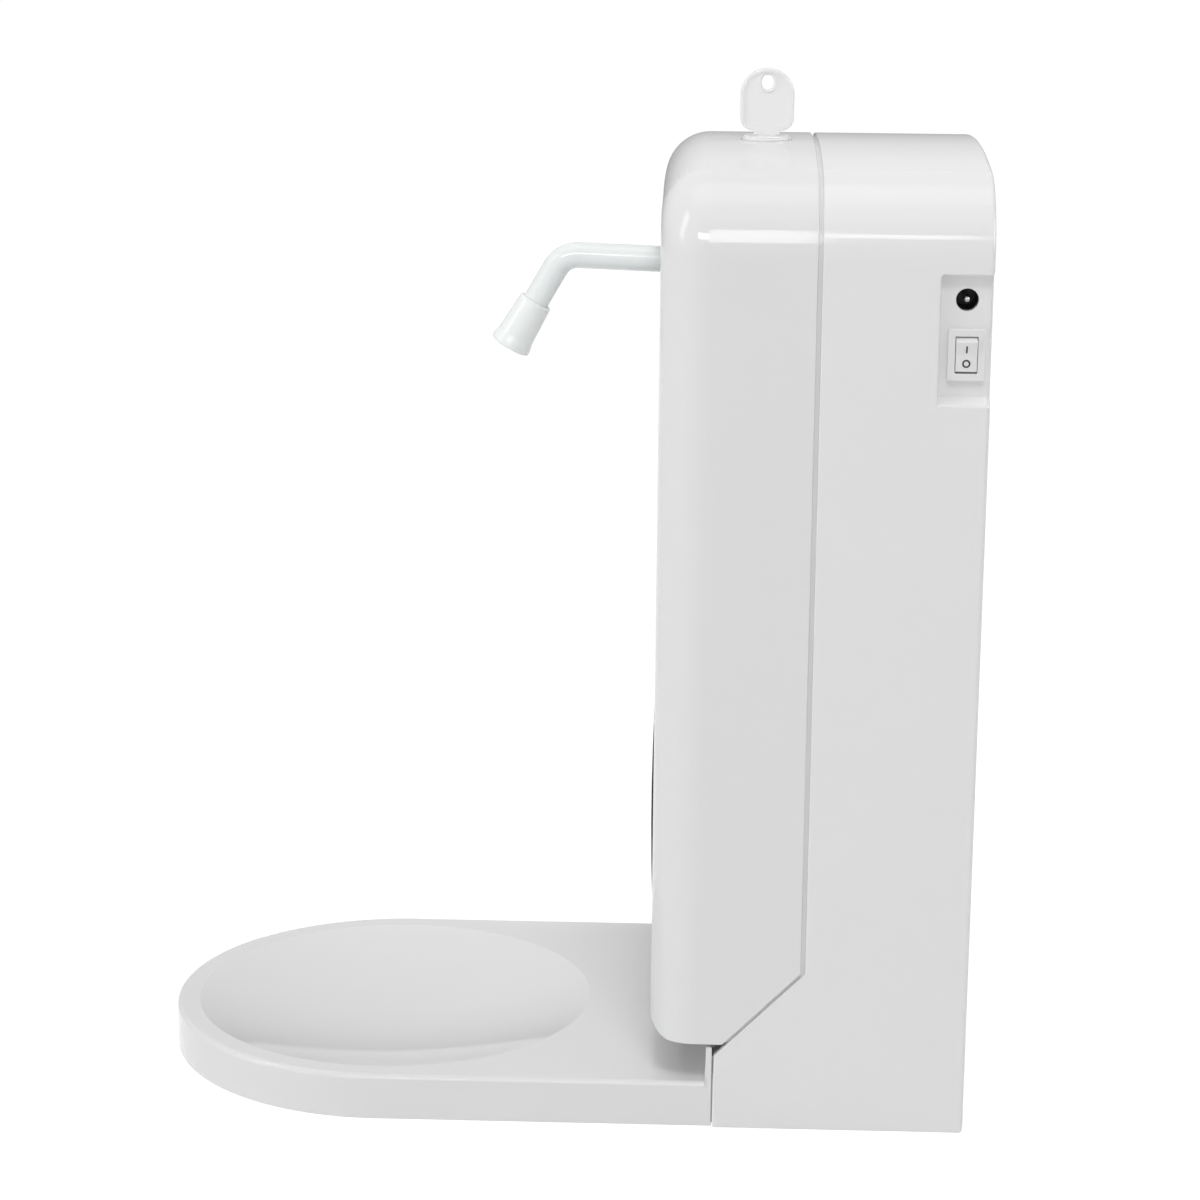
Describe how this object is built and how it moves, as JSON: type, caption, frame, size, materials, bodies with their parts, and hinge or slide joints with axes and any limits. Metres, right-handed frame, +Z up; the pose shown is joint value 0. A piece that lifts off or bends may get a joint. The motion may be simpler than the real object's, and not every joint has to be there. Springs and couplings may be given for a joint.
{
  "type": "automatic soap dispenser",
  "caption": "Touch-free soap dispenser: tall white body with arched top, hinged locking cover, bent spout, dark sensor window, side switch and plug-in round-ended drip tray.",
  "frame": {"origin": "on the table, under the middle of the body's depth and width", "axes": "+Z up, the cover and spout face -Y, the switch side is +X"},
  "size_m": [0.144, 0.2516, 0.3155],
  "materials": {
    "shell_white": "smooth gloss",
    "deck_white": "satin",
    "base_grey": "fine grain",
    "steel": "plated",
    "motor_can": "plated can",
    "lock_white": "slightly translucent",
    "spout_white": "gloss, cool white",
    "nozzle_soft": "soft silicone",
    "hose_clear": "translucent silicone",
    "bottle_clear": "translucent",
    "gear_white": "moulded",
    "seal_black": "soft",
    "window_dark": "smoked gloss",
    "board_green": "lacquered board",
    "black_plastic": "satin",
    "diode_clear": "clear cast",
    "switch_white": "satin gloss",
    "cell_wrap": "wrapped cell"
  },
  "bodies": {
    "housing": {"rear_housing": "shell_white", "base_plate": "base_grey", "base_screws": "steel", "pump_deck": "deck_white", "deck_screws": "steel", "hinge_pins": "steel", "spout_tube": "spout_white", "spout_nozzle": "nozzle_soft", "spout_clamp": "deck_white", "clamp_screws": "steel", "delivery_hose": "hose_clear", "bottle": "bottle_clear", "bottle_cap": "deck_white", "dip_tube": "hose_clear", "suction_hose": "hose_clear", "pump_body": "deck_white", "pump_plate": "deck_white", "pump_screws": "steel", "idler_shaft": "steel", "shaft_seal": "seal_black", "motor": "motor_can", "motor_strap": "steel", "strap_screws": "steel", "control_board": "board_green", "board_parts": "black_plastic", "board_screws": "steel", "switch_frame": "switch_white", "switch_terminals": "steel", "inlet_body": "black_plastic", "inlet_pin": "steel", "inlet_tabs": "steel", "battery_holder": "black_plastic", "battery_cells": "cell_wrap", "battery_contacts": "steel", "holder_screws": "steel"},
    "cover": {"front_cover": "shell_white", "sensor_window": "window_dark", "sensor_board": "board_green", "sensor_diodes": "diode_clear", "sensor_screws": "steel"},
    "lock": {"lock_barrel": "lock_white", "lock_cam": "steel", "cam_screw": "steel"},
    "key": {"key": "lock_white"},
    "tray": {"drip_tray": "shell_white"},
    "rocker": {"switch_rocker": "switch_white"},
    "drive": {"drive_gear": "gear_white", "motor_shaft": "steel"},
    "idler": {"idler_gear": "gear_white"}
  },
  "joints": [
    {"name": "cover_hinge", "type": "hinge", "parent": "housing", "child": "cover", "pos_m": [0, -0.0385, 0.034], "axis": [1, 0, 0], "range_deg": [0, 85]},
    {"name": "lock_turn", "type": "hinge", "parent": "cover", "child": "lock", "pos_m": [0, -0.017, 0.28], "axis": [0, 0, -1], "range_deg": [0, 90]},
    {"name": "key_pull", "type": "slide", "parent": "lock", "child": "key", "axis": [0, 0, 1], "range_m": [0, 0.03]},
    {"name": "tray_pull", "type": "slide", "parent": "housing", "child": "tray", "axis": [0, -1, 0], "range_m": [0, 0.06]},
    {"name": "rocker_tilt", "type": "hinge", "parent": "housing", "child": "rocker", "pos_m": [0.0683, 0.0407, 0.2402], "axis": [0, -1, 0], "range_deg": [0, 17]},
    {"name": "drive_spin", "type": "hinge", "parent": "housing", "child": "drive", "pos_m": [0, 0.0049, 0.226], "axis": [1, 0, 0], "continuous": true},
    {"name": "idler_spin", "type": "hinge", "parent": "housing", "child": "idler", "pos_m": [0, -0.0078, 0.226], "axis": [1, 0, 0], "continuous": true}
  ],
  "couplings": [
    {"joint": "idler_spin", "follows": "drive_spin", "ratio": -1}
  ]
}
